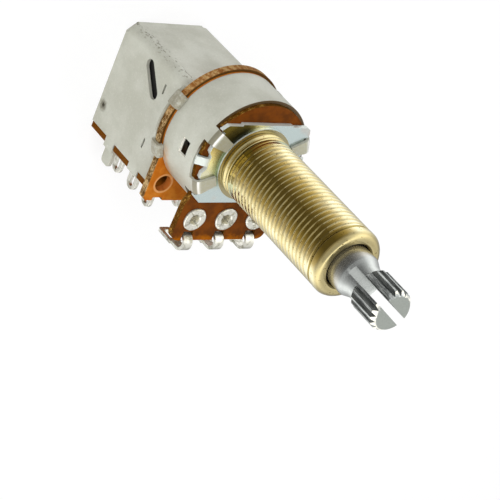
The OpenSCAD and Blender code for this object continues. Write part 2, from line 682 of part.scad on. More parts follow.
bushing();
front_plate();
element_board();
resistive_track();
collector_ring();
terminal(-1);  // terminal_left
terminal(0);  // terminal_middle
terminal(1);  // terminal_right
eyelet(-1);  // eyelet_left
eyelet(0);  // eyelet_middle
eyelet(1);  // eyelet_right
can();
rear_board();
switch_frame();
switch_terminal_board();
switch_lug(-1, 0);  // switch_lug_1
switch_lug(-1, 1);  // switch_lug_2
switch_lug(-1, 2);  // switch_lug_3
switch_lug(1, 0);  // switch_lug_4
switch_lug(1, 1);  // switch_lug_5
switch_lug(1, 2);  // switch_lug_6
detent_spring();
slide_block();
bridge_contact(-1);  // bridge_contact_left
bridge_contact(1);  // bridge_contact_right
shaft();
retaining_clip();
rotor();
wiper_spring();
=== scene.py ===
import math
import bpy
from mathutils import Matrix, Vector


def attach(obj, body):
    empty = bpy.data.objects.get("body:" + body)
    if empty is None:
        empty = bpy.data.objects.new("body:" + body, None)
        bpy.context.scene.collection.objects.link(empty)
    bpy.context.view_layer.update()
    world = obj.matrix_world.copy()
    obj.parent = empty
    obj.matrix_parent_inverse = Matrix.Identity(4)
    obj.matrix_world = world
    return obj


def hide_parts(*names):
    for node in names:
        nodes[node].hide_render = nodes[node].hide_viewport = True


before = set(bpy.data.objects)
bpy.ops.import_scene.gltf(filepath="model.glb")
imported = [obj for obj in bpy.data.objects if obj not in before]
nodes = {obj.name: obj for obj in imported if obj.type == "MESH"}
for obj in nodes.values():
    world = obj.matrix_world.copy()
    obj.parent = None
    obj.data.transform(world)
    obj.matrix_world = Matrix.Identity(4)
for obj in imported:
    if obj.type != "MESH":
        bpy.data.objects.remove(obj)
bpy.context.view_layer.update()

# Push-pull potentiometer: threaded bushing, rolled eyelets, materials, studio and camera.
# Lengths in the dictionaries are millimetres unless a note says metres, and a pair of them is where a
# change over the surface starts and ends.

scene = bpy.context.scene
mm = 0.001
print("frame loaded:", len(nodes), "nodes")


# shader writing
class Wire:
    # one socket of a node tree, with the maths written as plain expressions
    def __init__(self, sheet, socket):
        self.sheet, self.socket = sheet, socket

    def __add__(self, other): return self.sheet.maths("ADD", self, other)
    def __radd__(self, other): return self.sheet.maths("ADD", other, self)
    def __sub__(self, other): return self.sheet.maths("SUBTRACT", self, other)
    def __rsub__(self, other): return self.sheet.maths("SUBTRACT", other, self)
    def __mul__(self, other): return self.sheet.maths("MULTIPLY", self, other)
    def __rmul__(self, other): return self.sheet.maths("MULTIPLY", other, self)
    def __truediv__(self, other): return self.sheet.maths("DIVIDE", self, other)
    def __rtruediv__(self, other): return self.sheet.maths("DIVIDE", other, self)
    def __pow__(self, other): return self.sheet.maths("POWER", self, other)
    def __rpow__(self, other): return self.sheet.maths("POWER", other, self)
    def __abs__(self): return self.sheet.maths("ABSOLUTE", self, 0.0)


class Sheet:
    # a node tree that is being written
    def __init__(self, tree):
        self.tree = tree

    def node(self, kind, settings=None, values=None, out=0):
        made = self.tree.nodes.new("ShaderNode" + kind)
        for key, value in (settings or {}).items():
            if key == "stops":
                self.setStops(made.color_ramp, value)
            else:
                setattr(made, key, value)
        for key, value in (values or {}).items():
            self.feed(made.inputs[key], value)
        return Wire(self, made.outputs[out])

    def setStops(self, ramp, stops):
        while len(ramp.elements) < len(stops):
            ramp.elements.new(0.5)
        for element, (place, grey) in zip(ramp.elements, stops):
            element.position = place
            element.color = (grey, grey, grey, 1)

    def feed(self, socket, value):
        if isinstance(value, Wire):
            self.tree.links.new(value.socket, socket)
        elif isinstance(value, tuple) and len(value) == 3 and socket.type == "RGBA":
            socket.default_value = (*value, 1)
        else:
            socket.default_value = value

    def others(self, wire, *outs):
        # these outputs of the node that a wire comes from
        return [Wire(self, wire.socket.node.outputs[out]) for out in outs]

    def split(self, vector):
        return self.others(self.node("SeparateXYZ", values={0: vector}), 0, 1, 2)

    def maths(self, operation, a, b):
        return self.node("Math", {"operation": operation}, {0: a, 1: b})

    def step(self, value, low, high, start=0.0, end=1.0):
        return self.node("MapRange", {"interpolation_type": "SMOOTHSTEP"},
                         {"Value": value, "From Min": low, "From Max": high, "To Min": start, "To Max": end})


class Finish(Sheet):
    # a material under construction
    def __init__(self, name):
        self.material = bpy.data.materials.new(name)
        self.material.use_nodes = True
        super().__init__(self.material.node_tree)
        self.shader = self.tree.nodes["Principled BSDF"]

    def point(self, x=1.0, y=1.0, z=1.0):
        # place on the part in millimetres, stretched for streaks
        place = self.node("TexCoord", out="Object")
        return self.node("VectorMath", {"operation": "MULTIPLY"}, {0: place, 1: (x / mm, y / mm, z / mm)})

    def axes(self):
        return self.split(self.point())

    def facing(self):
        normal = self.node("NewGeometry", out="Normal")
        turned = self.node("VectorTransform", {"vector_type": "NORMAL", "convert_from": "WORLD",
                                               "convert_to": "OBJECT"}, {0: normal})
        return self.split(turned)

    def cloud(self, size, detail=4.0, rough=0.55, stretch=(1, 1, 1)):
        # noise whose blobs are about size millimetres
        return self.node("TexNoise", values={"Vector": self.point(*stretch), "Scale": 1 / size,
                                             "Detail": detail, "Roughness": rough})

    def blend(self, amount, a, b):
        made = self.node("Mix", {"data_type": "RGBA", "clamp_factor": True}, out=2)
        for place, value in ((0, amount), (6, a), (7, b)):  # factor and the two colours
            self.feed(made.socket.node.inputs[place], value)
        return made

    def bump(self, height, depth, strength):
        made = self.node("Bump", values={"Strength": strength, "Distance": depth * mm, "Height": height})
        self.feed(self.shader.inputs["Normal"], made)

    def set(self, **sockets):
        for key, value in sockets.items():
            self.feed(self.shader.inputs[key.replace("_", " ")], value)
        return self.material


# tin plate of the can and the switch frame
tin = {
    "light": (0.475, 0.48, 0.415), "dull": (0.40, 0.40, 0.335), "spot": (0.31, 0.304, 0.248),
    "glint": (0.645, 0.657, 0.589), "roughness": 0.40, "metal": 0.18, "dents": 0.025}


def startTin(name):
    # the plain plate: soft patches, dark specks and bright glints
    f = Finish(name)
    broad = f.cloud(5.0, 3.0)
    fine = f.cloud(0.22, 5.0, 0.65)
    colour = f.blend(f.step(broad, 0.35, 0.68), tin["light"], tin["dull"])
    colour = f.blend(f.step(fine, 0.52, 0.75) * 0.35, colour, tin["spot"])
    colour = f.blend(f.step(fine, 0.45, 0.25) * 0.4, colour, tin["glint"])
    return f, colour, tin["roughness"] + 0.16 * broad + 0.10 * fine


frameTin = {
    "scuffAndShade": (0.124, 0.112, 0.0744), "grime": (0.211, 0.186, 0.124),
    "foldX": -5.35, "foldHalf": (1.1, 0.1), "foldAbove": (4.6, 5.3), "foldBehind": (-8.5, -10),
    "holeY": -6.5, "holeZ": -23.6, "shadeRadius": (1.45, 0.75), "leftWall": (-5.8, -6.2),
    "gripBack": (-9.3, -9.2), "gripFront": (-7.3, -7.4),
    "flareBack": (-11.2, -9.5), "flareFront": (-8.3, -8.4)}


def makeFrameTin():
    t = frameTin
    f, colour, rough = startTin("satinTin")
    x, y, z = f.axes()
    # scuffs left by the folding tool, along the upper left fold
    fold = f.step(abs(x - t["foldX"]), *t["foldHalf"]) * f.step(y, *t["foldAbove"])
    pits = f.step(f.cloud(0.34, 3.0, 0.6, (1, 1, 0.55)), 0.53, 0.62)
    scuffs = fold * f.step(z, *t["foldBehind"]) * pits
    colour = f.blend(scuffs * 0.8, colour, t["scuffAndShade"])
    # painted shade of the dent round the small pierced hole low on the left wall
    away = ((y - t["holeY"]) ** 2.0 + (z - t["holeZ"]) ** 2.0) ** 0.5
    pierced = f.step(away + 0.8 * f.cloud(0.4, 3.0), *t["shadeRadius"]) * f.step(x, *t["leftWall"])
    colour = f.blend(pierced * 0.8, colour, t["scuffAndShade"])
    # darker mottled patches on the tabs that grip the can, and painted shade where the walls flare out to the
    # flange
    grip = f.step(z, *t["gripBack"]) * f.step(z, *t["gripFront"])
    colour = f.blend(grip * f.step(f.cloud(0.7, 4.0, 0.7), 0.3, 0.62) * 0.75, colour, t["grime"])
    flareShade = f.step(z, *t["flareBack"]) * f.step(z, *t["flareFront"])
    colour = f.blend(flareShade * f.step(f.cloud(1.2, 4.0), 0.25, 0.6) * 0.45, colour, t["grime"])
    f.bump(f.cloud(0.35, 4.0, 0.6) - 1.3 * scuffs - 2.0 * pierced, tin["dents"], 0.6)
    return f.set(Base_Color=colour, Roughness=rough - 0.1 * scuffs, Metallic=tin["metal"])


canTin = {
    "worn": (0.372, 0.36, 0.254), "shade": (0.136, 0.124, 0.0806), "shine": (0.80, 0.80, 0.76),
    "low": (0.322, 0.279, 0.192), "amber": (0.50, 0.24, 0.08), "rim": (0.0744, 0.0434, 0.0149),
    "cut": (0.88, 0.86, 0.76),
    "tabs": (-0.75, -0.65), "behindTabs": (-0.75, -0.80), "skirt": (-8.4, -8.3), "lowFrom": (-1.5, -6.0),
    "reflectionBehind": (-5.7, -7.2), "reflectionBelow": (-1.0, -3.5), "rimAbove": (0.5, 2.0),
    "windowX": (-7.9, -8.0), "windowHalf": (1.3, 1.2), "windowFront": (-2, -2.4), "windowBack": (-6.5, -6.3)}


def makeCanTin():
    t = canTin
    f, colour, rough = startTin("satinCanTin")
    x, y, z = f.axes()
    nx, _, nz = f.facing()
    # worn tabs, with a painted highlight along the outside of each bend and painted shade on the turned part
    # beside it
    tab = f.step(z, *t["tabs"]) * f.step(nz, 0.05, 0.2)
    bendHighlight = f.step(abs(nz - 0.86), 0.14, 0.02)
    turned = f.step(abs(nz - 0.48), 0.48, 0.38)
    mottled = f.cloud(0.3, 4.0, 0.7)
    tabColour = f.blend(f.step(mottled, 0.3, 0.65), tin["dull"], t["worn"])
    tabColour = f.blend(turned * 0.8, tabColour, t["shade"])
    tabColour = f.blend(bendHighlight, tabColour, t["shine"])
    colour = f.blend(tab, colour, tabColour)
    # painted shade, darker and warmer towards the terminals; painted reflection of the rear board, amber
    # close to it; painted shadow on the front rim above
    skirt = f.step(z, *t["skirt"])
    colour = f.blend(skirt * f.step(y, *t["lowFrom"]) * 0.55, colour, t["low"])
    boardReflection = skirt * f.step(z, *t["reflectionBehind"]) * f.step(y, *t["reflectionBelow"])
    colour = f.blend(boardReflection * f.step(f.cloud(0.8, 4.0), 0.2, 0.6) * 0.7, colour, t["amber"])
    rim = skirt * f.step(nz, 0.5, 0.8) * f.step(z, *t["behindTabs"]) * f.step(y, *t["rimAbove"])
    colour = f.blend(rim, colour, t["rim"])
    # painted highlight on the cut edges round the window
    window = f.step(abs(y), *t["windowHalf"]) * f.step(x, *t["windowX"])
    window = window * f.step(z, *t["windowFront"]) * f.step(z, *t["windowBack"])
    cut = window * f.step(abs(nx), 0.7, 0.4)
    colour = f.blend(cut, colour, t["cut"])
    f.bump(f.cloud(0.35, 4.0, 0.6), tin["dents"], 0.6)
    return f.set(Base_Color=colour, Roughness=rough - 0.12 * tab, Metallic=tin["metal"] * (1 - 0.7 * cut))


# chromated zinc of the front plate
zinc = {
    "blue": (0.50, 0.58, 0.57), "rose": (0.54, 0.52, 0.48), "pale": (0.74, 0.72, 0.50),
    "green": (0.30, 0.35, 0.20), "olive": (0.30, 0.29, 0.12), "shade": (0.14, 0.135, 0.06),
    "black": (0.012, 0.014, 0.006), "grain": (0.26, 0.28, 0.27), "white": (0.60, 0.64, 0.60),
    "ring": (0.34, 0.30, 0.17),
    "leftOf": (-3.2, -4.6), "leftBelow": (3.4, 2.4), "leftAbove": (-4.2, -2.2), "nearBushing": (5.3, 6.7),
    "wing": (1.6, -1.0), "wingAbove": (2.2, 3.2), "wingOlive": (-1.0, -2.6),
    "deep": (-0.8, -2.6), "corner": (-10.9, -9.6), "blackRadius": (7.3, 6.0),
    "ringFoot": (0.05, 0.15), "ringTopReflection": (0.2, 0.25), "keyX": (6.95, 7.1), "keyHalf": (0.7, 0.6),
    "face": (0.05, 0.0)}


def makeZinc():
    t = zinc
    f = Finish("chromateZinc")
    x, y, z = f.axes()
    nz = f.facing()[2]
    drift = f.cloud(3.2, 2.0)
    radius = (x * x + y * y) ** 0.5
    colour = f.blend(f.step(drift, 0.52, 0.72), t["blue"], t["rose"])
    # pale yellow tint on the left, green beside the bushing
    left = f.step(x, *t["leftOf"]) * f.step(y, *t["leftBelow"]) * f.step(y, *t["leftAbove"])
    colour = f.blend(left, colour, f.blend(f.step(radius, *t["nearBushing"]), t["green"], t["pale"]))
    # painted dark reflection on the upper left wing, olive going to black near the bushing
    wing = f.step(x + 0.4 * drift, *t["wing"]) * f.step(y, *t["wingAbove"])
    colour = f.blend(wing, colour, f.blend(f.step(x, *t["wingOlive"]), t["pale"], t["olive"]))
    deep = f.step(x + 1.6 * drift + 0.5 * f.cloud(0.5, 4.0), *t["deep"])
    deep = deep * f.step(y, *t["wingAbove"]) * f.step(x - y, *t["corner"])
    colour = f.blend(deep * 0.95, colour, t["shade"])
    inner = f.step(radius + 0.9 * f.cloud(0.4, 4.0), *t["blackRadius"])
    colour = f.blend(deep * inner * 0.85, colour, t["black"])
    grain = f.cloud(0.16, 4.0, 0.6, (1, 0.25, 1))
    colour = f.blend(f.step(grain, 0.55, 0.8) * 0.25, colour, t["grain"])
    # painted highlight, white and less metallic, on the side of the polished ring round the bushing, on the
    # bent keys and on the sheet's cut edges; painted dark reflection on top of the ring
    ring = f.step(z, *t["ringFoot"]) * f.step(abs(nz), 0.95, 0.6)
    key = f.step(abs(x), *t["keyX"]) * f.step(abs(y), *t["keyHalf"])
    edge = f.step(abs(nz), 0.6, 0.3)
    ringTopReflection = f.step(z, *t["ringTopReflection"]) * (1 - ring)
    whiteHighlight = f.maths("MAXIMUM", f.maths("MAXIMUM", ring, key), edge * f.step(z, *t["face"]))
    colour = f.blend(whiteHighlight, colour, t["white"])
    colour = f.blend(ringTopReflection, colour, t["ring"])
    f.bump(grain, 0.006, 0.5)
    return f.set(Base_Color=colour, Roughness=0.17 + 0.14 * grain + 0.2 * whiteHighlight, Metallic=0.92 - 0.6 * whiteHighlight)


# turned brass of the bushing and the springs
brass = {
    "light": (0.74, 0.69, 0.45), "deep": (0.62, 0.55, 0.30), "warm": (0.62, 0.41, 0.07),
    "ahead": (0.43, 0.355, 0.165), "line": (0.42, 0.32, 0.12), "stain": (0.12, 0.07, 0.015),
    "warmReflectionSide": 143.8}


def makeBrass():
    f = Finish("turnedBrass")
    nx, ny, nz = f.facing()
    broad = f.cloud(2.6, 3.0, 0.6)
    turning = f.cloud(0.5, 3.0, 0.5, (0.12, 0.12, 5.0))
    specks = f.step(f.cloud(0.26, 2.0, 0.5), 0.66, 0.71)
    colour = f.blend(f.step(broad, 0.36, 0.66), brass["light"], brass["deep"])
    # painted reflection: warmer, darker brass on the side away from the terminals; olive on what faces ahead
    a = math.radians(brass["warmReflectionSide"])
    warm = f.step(nx * math.cos(a) + ny * math.sin(a) + 0.2 * (broad - 0.5), 0.60, 0.96)
    colour = f.blend(warm, colour, brass["warm"])
    colour = f.blend(f.step(nz, 0.15, 0.6) * 0.85, colour, brass["ahead"])
    colour = f.blend(f.step(turning, 0.5, 0.75) * 0.35, colour, brass["line"])
    colour = f.blend(specks * 0.8, colour, brass["stain"])
    f.bump(turning + 0.5 * f.cloud(0.3, 3.0), 0.014, 0.6)
    return f.set(Base_Color=colour, Roughness=0.08 + 0.11 * broad + 0.2 * specks, Metallic=1.0)


# aluminium of the shaft
alloy = {
    "bright": (0.48, 0.50, 0.48), "dim": (0.36, 0.38, 0.37), "warm": (0.38, 0.37, 0.33),
    "face": (0.33, 0.35, 0.32), "sawn": (0.25, 0.27, 0.245), "streak": (0.12, 0.13, 0.13),
    "cut": (0.95, 0.93, 0.82),
    "knurl": (26.1, 26.3), "journal": (24.1, 23.5), "end": (30, 30.5), "chamfer": (30.45, 30.55)}


def makeAlloy():
    f = Finish("turnedAluminium")
    z = f.axes()[2]
    nz = f.facing()[2]
    turning = f.cloud(0.35, 3.0, 0.5, (0.15, 0.15, 5.0))
    knurled = f.step(z, *alloy["knurl"])
    endFace = f.step(nz, 0.82, 0.92) * f.step(z, *alloy["end"])
    # painted highlight: some chamfers at the end turned white and less metallic
    chamfer = f.step(z, *alloy["chamfer"]) * f.step(abs(nz - 0.45), 0.35, 0.25)
    chamfer = chamfer * f.step(f.cloud(1.6, 1.0), 0.42, 0.52)
    streaks = f.step(f.cloud(0.2, 4.0, 0.65, (1, 1, 0.14)), 0.42, 0.62) * knurled * (1 - endFace)
    colour = f.blend(f.step(turning, 0.45, 0.75) * 0.4, alloy["bright"], alloy["dim"])
    colour = f.blend(f.step(z, *alloy["journal"]), colour, alloy["warm"])
    colour = f.blend(streaks * 0.75, colour, alloy["streak"])
    grit = f.cloud(0.12, 4.0, 0.7)
    colour = f.blend(endFace, colour, f.blend(f.step(grit, 0.35, 0.7), alloy["face"], alloy["sawn"]))
    colour = f.blend(chamfer, colour, alloy["cut"])
    f.bump(0.6 * turning * (1 - knurled) + 0.8 * grit * knurled + 0.8 * streaks, 0.02, 0.6)
    rough = 0.12 + 0.12 * turning + 0.22 * knurled + 0.25 * endFace + 0.2 * chamfer
    metal = 0.92 + 0.08 * knurled - 0.55 * endFace - 0.5 * chamfer
    return f.set(Base_Color=colour, Roughness=rough, Metallic=metal)


# solder tin of the terminals, lugs and eyelets
solderTin = {
    "bright": (0.64, 0.63, 0.56), "dull": (0.34, 0.33, 0.26), "dirt": (0.06, 0.045, 0.025),
    "flux": (0.72, 0.68, 0.50), "eyeletPitch": 5.0, "eyeletDrop": 8.8, "hollow": (0.72, 0.62)}


def makeSolderTin():
    f = Finish("brightSolderTin")
    x, y = f.axes()[:2]
    broad = f.cloud(0.8, 3.0)
    fine = f.cloud(0.2, 4.0, 0.6)
    colour = f.blend(f.step(broad, 0.46, 0.72), solderTin["bright"], solderTin["dull"])
    colour = f.blend(f.step(fine, 0.60, 0.72) * 0.6, colour, solderTin["dirt"])
    # flux left in the hollows of the eyelets
    pitch = solderTin["eyeletPitch"]
    across = f.maths("PINGPONG", x + 10 * pitch, pitch / 2)
    away = (across ** 2.0 + (y + solderTin["eyeletDrop"]) ** 2.0) ** 0.5
    hollow = f.step(away, *solderTin["hollow"])
    colour = f.blend(hollow, colour, f.blend(f.step(fine, 0.4, 0.6), solderTin["flux"], solderTin["dull"]))
    f.bump(broad + 0.6 * fine, 0.06, 0.7)
    rough = 0.20 + 0.22 * broad + 0.3 * hollow
    return f.set(Base_Color=colour, Roughness=rough, Metallic=0.85 - 0.6 * hollow)


# paper laminate of the three boards: across is the axis through the thickness, pale the share of fibre
darkBoard = {
    "face": (0.148, 0.040, 0.004), "patch": (0.090, 0.026, 0.004), "edge": (0.074, 0.027, 0.002),
    "fibre": (0.40, 0.22, 0.045), "across": 2, "pale": 0.45,
    "glow": {"colour": (0.32, 0.092, 0.002), "y": -12.1}}
orangeBoard = {
    "face": (0.58, 0.200, 0.022), "patch": (0.48, 0.134, 0.010), "edge": (0.080, 0.034, 0.007),
    "fibre": (0.54, 0.38, 0.18), "across": 2, "pale": 0.54,
    "rim": {"radius": (8.5, 8.55), "above": (-4.5, -3.5)},
    "upper": {"light": (0.22, 0.080, 0.018), "pale": (0.42, 0.27, 0.11), "y": (0.5, 4.0)},
    "holes": {"pitch": 5.5, "drop": 8.4, "radius": 1.15,
              "ring": (0.78, 0.42, 0.17), "wall": (0.52, 0.16, 0.03)}}
deckBoard = {
    "face": (0.50, 0.15, 0.010), "patch": (0.37, 0.10, 0.006), "edge": (0.12, 0.036, 0.002),
    "fibre": (0.13, 0.055, 0.008), "across": 1, "pale": 0.5}


def makeBoard(name, board):
    # smooth lacquered faces, and punched edges with pale torn fibres
    f = Finish(name)
    x, y = f.axes()[:2]
    side = f.step(abs(f.facing()[board["across"]]), 0.8, 0.5)
    cloudy = f.cloud(1.6, 4.0, 0.6)
    colour = f.blend(f.step(cloudy, 0.35, 0.65), board["face"], board["patch"])
    if "glow" in board:
        # the lacquer glows amber towards the lower edge and in patches
        glow = board["glow"]
        shine = f.step(y + 2.2 * cloudy + 0.6 * f.cloud(0.3, 3.0), glow["y"] + 2.4, glow["y"] + 1.2)
        colour = f.blend(shine, colour, glow["colour"])
    if "rim" in board:
        # dirt where the rim stands out past the can
        radius = (x * x + y * y) ** 0.5
        dirt = f.step(radius, *board["rim"]["radius"]) * f.step(y, *board["rim"]["above"])
        colour = f.blend(dirt, colour, board["edge"])
    layers = [1, 1, 1]
    layers[board["across"]] = 3.2
    torn = f.cloud(0.34, 5.0, 0.72, tuple(layers))
    patches = f.cloud(1.9, 3.0, 0.6)
    share = board["pale"] * 0.4
    fibre = f.step(torn + 0.5 * patches, 0.92 - share, 1.12 - share)
    sideColour = f.blend(fibre, board["edge"], board["fibre"])
    if "upper" in board:
        # cleaner edge above, with the light of the lacquer in it
        upper = board["upper"]
        mottled = f.step(f.cloud(0.45, 5.0, 0.7, (1, 1, 0.5)), 0.42, 0.60)
        clean = f.blend(mottled, upper["light"], upper["pale"])
        sideColour = f.blend(f.step(y, *upper["y"]) * 0.85, sideColour, clean)
    colour = f.blend(side, colour, sideColour)
    if "holes" in board:
        # pale ring of pressed lacquer round each spare hole, and clean walls in it
        holes = board["holes"]
        across = f.maths("PINGPONG", x + 10 * holes["pitch"], holes["pitch"] / 2)
        away = (across ** 2.0 + (y + holes["drop"]) ** 2.0) ** 0.5
        colour = f.blend(f.step(away, holes["radius"] + 0.06, holes["radius"]) * side, colour, holes["wall"])
        ring = f.step(abs(away - holes["radius"] - 0.16), 0.2, 0.08) * (1 - side)
        colour = f.blend(ring * 0.7, colour, holes["ring"])
    fine = f.cloud(0.15, 3.0)
    f.bump(torn * side + 0.12 * fine, 0.09, 0.8)
    return f.set(Base_Color=colour, Roughness=0.34 + 0.12 * fine + 0.35 * side, Specular_IOR_Level=0.03)


# moulded plastic of the slide and rotor, and the printed carbon track
blackPlastic = {"dark": (0.012, 0.011, 0.010), "light": (0.030, 0.028, 0.026), "grain": 0.2, "detail": 0.6,
                "depth": 0.015, "strength": 0.5, "roughness": 0.42}
carbonFilm = {"dark": (0.010, 0.010, 0.011), "light": (0.045, 0.045, 0.047), "grain": 0.1, "detail": 0.7,
              "depth": 0.006, "strength": 0.6, "roughness": 0.5}


def makeGrained(name, look):
    f = Finish(name)
    grain = f.cloud(look["grain"], 4.0, look["detail"])
    colour = f.blend(f.step(grain, 0.4, 0.7), look["dark"], look["light"])
    f.bump(grain, look["depth"], look["strength"])
    return f.set(Base_Color=colour, Roughness=look["roughness"] + 0.2 * grain)


materials = {
    "tin": makeFrameTin(), "canTin": makeCanTin(), "zinc": makeZinc(), "brass": makeBrass(),
    "alloy": makeAlloy(), "solder": makeSolderTin(),
    "dark": makeBoard("darkLaminate", darkBoard), "orange": makeBoard("orangeLaminate", orangeBoard),
    "deck": makeBoard("deckLaminate", deckBoard),
    "black": makeGrained("mouldedBlack", blackPlastic), "carbon": makeGrained("printedCarbon", carbonFilm)}
print("materials made:", len(materials))


# material of each solid of the frame, and how wide its edges are rounded
finishes = {
    "front_plate": ("zinc", 0.05), "element_board": ("dark", 0.04), "resistive_track": ("carbon", 0),
    "collector_ring": ("solder", 0), "can": ("canTin", 0.05), "rear_board": ("orange", 0.04),
    "switch_frame": ("tin", 0), "switch_terminal_board": ("deck", 0.04), "detent_spring": ("solder", 0.02),
    "slide_block": ("black", 0.12), "bridge_contact_left": ("brass", 0.05),
    "bridge_contact_right": ("brass", 0.05), "shaft": ("alloy", 0.03), "retaining_clip": ("solder", 0.03),
    "rotor": ("black", 0.05), "wiper_spring": ("brass", 0.02), "terminal_left": ("solder", 0.04),
    "terminal_middle": ("solder", 0.04), "terminal_right": ("solder", 0.04)}
for i in range(1, 7):
    finishes[f"switch_lug_{i}"] = ("solder", 0.06)

# distances in metres, angles in degrees
edges = {"join": 1e-6, "flat": 0.6, "sharp": 32, "merge": 2e-6, "crease": 30, "weight": 100, "even": 0.01}


def soften(piece, width):
    # joins the solid's triangles into faces and rounds the sharp edges a little
    piece.modifiers.new("join", "WELD").merge_threshold = edges["join"]
    flat = piece.modifiers.new("faces", "DECIMATE")
    flat.decimate_type, flat.angle_limit = "DISSOLVE", math.radians(edges["flat"])
    if width:
        edge = piece.modifiers.new("edge", "BEVEL")
        edge.width, edge.segments = width * mm, 1
        edge.limit_method, edge.angle_limit = "ANGLE", math.radians(edges["sharp"])
        piece.modifiers.new("tidy", "WELD").merge_threshold = edges["merge"]
    piece.modifiers.new("crease", "EDGE_SPLIT").split_angle = math.radians(edges["crease"])
    even = piece.modifiers.new("shading", "WEIGHTED_NORMAL")
    even.mode, even.weight, even.thresh = "FACE_AREA", edges["weight"], edges["even"]


for name, (material, width) in finishes.items():
    node = nodes[name]
    node.data.materials.clear()
    node.data.materials.append(materials[material])
    for polygon in node.data.polygons:
        polygon.use_smooth = True
    soften(node, width)
print("solids dressed:", len(finishes))


def addPiece(name, points, faces, material, crease):
    # a smooth new piece on the base, creased where faces meet at more than this many degrees
    mesh = bpy.data.meshes.new(name)
    mesh.from_pydata([tuple(c * mm for c in p) for p in points], [], faces)
    mesh.materials.append(material)
    mesh.update()
    for polygon in mesh.polygons:
        polygon.use_smooth = True
    mesh.set_sharp_from_angle(angle=math.radians(crease))
    piece = bpy.data.objects.new(name, mesh)
    scene.collection.objects.link(piece)
    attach(piece, "base")
    return piece


def joinRings(one, two, columns):
    # four-sided faces between two rings of points that start at these indices
    for c in range(columns):
        d = (c + 1) % columns
        yield one + c, one + d, two + d, two + c


# threaded bushing
bushing = {
    "radius": 4.7625, "bore": 3.06, "pitch": 25.4 / 32, "depth": 0.125, "crest": 0.64, "crestCut": 0.02,
    "bottom": 1.9, "top": 20.05, "runIn": 1.5, "fade": 0.45, "recess": 0.35,
    "columns": 144, "perTurn": 9, "crease": 50}


def makeBushing():
    b = bushing
    radius, bore, columns = b["radius"], b["bore"], b["columns"]
    low = radius - b["recess"]
    points, faces = [], []

    def groove(turn):
        # depth of the thread at this fraction of a turn: broad crest, rounded groove
        away = abs(turn - math.floor(turn) - 0.5)
        half = (1 - b["crest"]) / 2
        return 0 if away > half else 0.5 + 0.5 * math.cos(math.pi * away / half)

    def ring(z, radiusAt):
        start = len(points)
        for c in range(columns):
            a = 2 * math.pi * c / columns
            points.append((radiusAt(c) * math.cos(a), radiusAt(c) * math.sin(a), z))
        return start

    # height and radius from the swaged lip behind the plate up over the plain bands at the foot
    foot = [(-0.95, bore), (-0.95, 4.45), (-0.92, 4.51), (-0.66, 4.51), (-0.65, 4.2), (0.3, 4.2), (0.3, 4.66),
            (0.36, radius - 0.02), (0.42, radius), (0.74, radius), (0.79, radius - 0.04), (0.88, low + 0.03),
            (0.95, low), (1.08, low), (1.15, low + 0.03), (1.2, radius - 0.05), (1.25, radius - 0.01),
            (1.46, radius - 0.01), (1.51, radius - 0.05), (1.58, low + 0.03), (1.65, low), (1.78, low),
            (1.86, radius - 0.1), (1.9, radius - 0.02)]
    # from the end of the thread over the plain ring and the rounded end into the bore
    head = [(20.08, radius - 0.04), (20.14, low + 0.03), (20.2, low), (20.33, low), (20.39, low + 0.04),
            (20.42, radius - 0.06), (20.47, radius), (21.1, radius), (21.3, radius - 0.05),
            (21.55, radius - 0.17), (21.78, radius - 0.36), (21.93, radius - 0.60), (22.0, radius - 0.88),
            (22.0, bore + 0.35), (21.95, bore + 0.28), (21.75, bore + 0.03), (21.6, bore)]
    rings = [ring(z, lambda c: r) for z, r in foot]
    steps = round((b["top"] - b["bottom"]) / b["pitch"] * b["perTurn"])
    for i in range(1, steps):
        z = b["bottom"] + (b["top"] - b["bottom"]) * i / steps
        inside = min(1, max(0, min((z - b["bottom"]) / b["runIn"], (b["top"] - z) / b["fade"])))
        rings.append(ring(z, lambda c: radius - b["crestCut"]
                          - b["depth"] * groove(z / b["pitch"] - c / columns) * inside))
    rings += [ring(z, lambda c: r) for z, r in head]
    for one, two in zip(rings, rings[1:] + rings[:1]):
        faces += joinRings(one, two, columns)
    piece = addPiece("threadedBushing", points, faces, materials["brass"], b["crease"])
    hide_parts("bushing")


makeBushing()
print("bushing threaded")


# rolled eyelets: the profile is height and radius, and each one is turned by its own angle
eyelet = {
    "pitch": 5.0, "drop": 8.8, "columns": 72, "turns": {"left": 0, "middle": 14, "right": -25},
    "profile": [(-2.30, 0.66), (-2.30, 1.28), (-2.05, 1.34), (-2.05, 0.95), (-0.65, 0.95), (-0.65, 1.62),
                (-0.58, 1.65), (-0.45, 1.63), (-0.37, 1.54), (-0.36, 1.40), (-0.39, 1.15), (-0.37, 0.95),
                (-0.37, 0.84), (-0.44, 0.72), (-0.60, 0.63), (-0.9, 0.60), (-2.2, 0.60)],
    "cracks": (38, 128, 218, 308), "crackWide": 6.0, "crackDeep": 0.27,
    "crackFrom": -0.62, "crackInner": 0.65, "crackOuter": 1.5,
    "waveFrom": -0.66, "waveInner": 1, "waves": (0.012, 0.008), "crease": 40}


